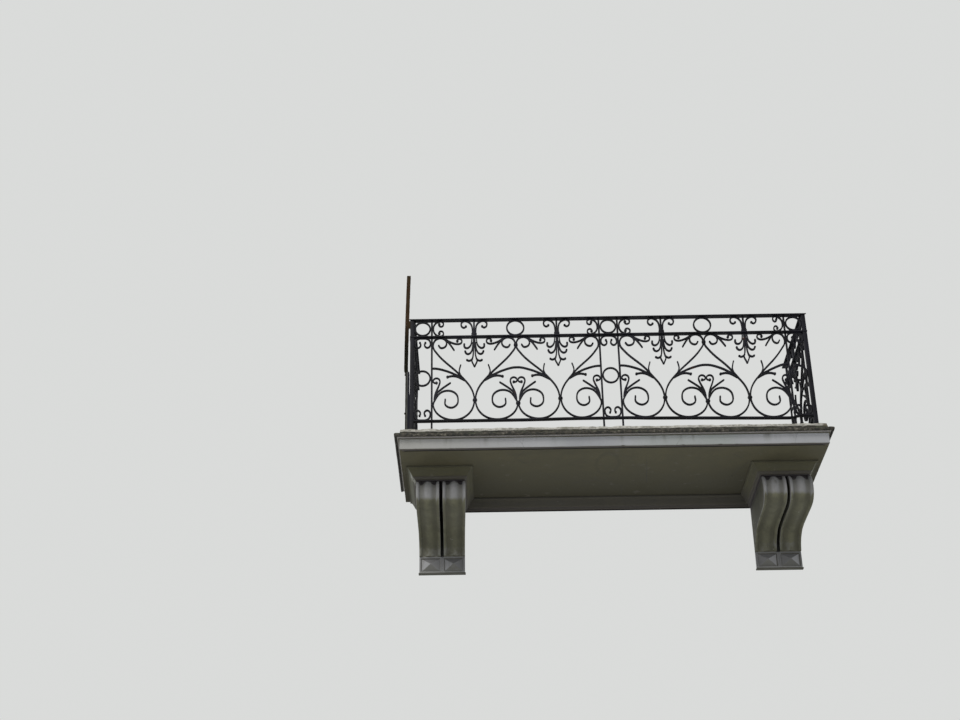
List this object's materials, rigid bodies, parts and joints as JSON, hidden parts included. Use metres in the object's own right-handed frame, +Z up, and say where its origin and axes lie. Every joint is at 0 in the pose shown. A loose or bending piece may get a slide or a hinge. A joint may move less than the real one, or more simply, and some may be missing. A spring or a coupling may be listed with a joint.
{
  "type": "wrought iron balcony",
  "caption": "Balcony with a scrollwork wrought iron railing on a moulded stone slab carried by pairs of scroll consoles, open to the wall.",
  "frame": {"origin": "middle of the slab's back face, on the wall plane", "axes": "+Y into the wall, +X along the wall to the right as seen from the street, +Z up"},
  "size_m": [3.236, 0.99, 2.1692],
  "materials": {
    "painted_stone": "weathered grey paint on stone",
    "cement": "rough cement",
    "weathered_stone": "sooty weathered render",
    "wrought_iron": "old black paint, dull",
    "galvanised_steel": "dull zinc",
    "rusty_steel": "even brown rust"
  },
  "bodies": {
    "root": {"slab": "painted_stone", "screed": "cement", "bed_mould_left": "weathered_stone", "bed_mould_right": "weathered_stone", "bed_mould_wall": "weathered_stone", "console_left_outer": "weathered_stone", "console_left_inner": "weathered_stone", "console_right_inner": "weathered_stone", "console_right_outer": "weathered_stone", "wall_plate_left": "weathered_stone", "wall_plate_right": "weathered_stone", "handrail_front": "wrought_iron", "handrail_left": "wrought_iron", "handrail_right": "wrought_iron", "frieze_rail_front": "wrought_iron", "frieze_rail_left": "wrought_iron", "frieze_rail_right": "wrought_iron", "bottom_rail_front": "wrought_iron", "bottom_rail_left": "wrought_iron", "bottom_rail_right": "wrought_iron", "corner_post_left": "wrought_iron", "corner_post_right": "wrought_iron", "front_bars": "wrought_iron", "side_bars_left": "wrought_iron", "side_bars_right": "wrought_iron", "scrolls_front_left": "wrought_iron", "scrolls_front_right": "wrought_iron", "scrolls_side_left": "wrought_iron", "scrolls_side_right": "wrought_iron", "frieze_front_left": "wrought_iron", "frieze_front_right": "wrought_iron", "frieze_side_left": "wrought_iron", "frieze_side_right": "wrought_iron", "pilaster_centre": "wrought_iron", "pilaster_front_left": "wrought_iron", "pilaster_front_right": "wrought_iron", "pilaster_side_left": "wrought_iron", "pilaster_side_right": "wrought_iron", "upright_angle": "galvanised_steel", "upright_bar": "rusty_steel", "upright_clamps": "galvanised_steel"}
  },
  "joints": []
}
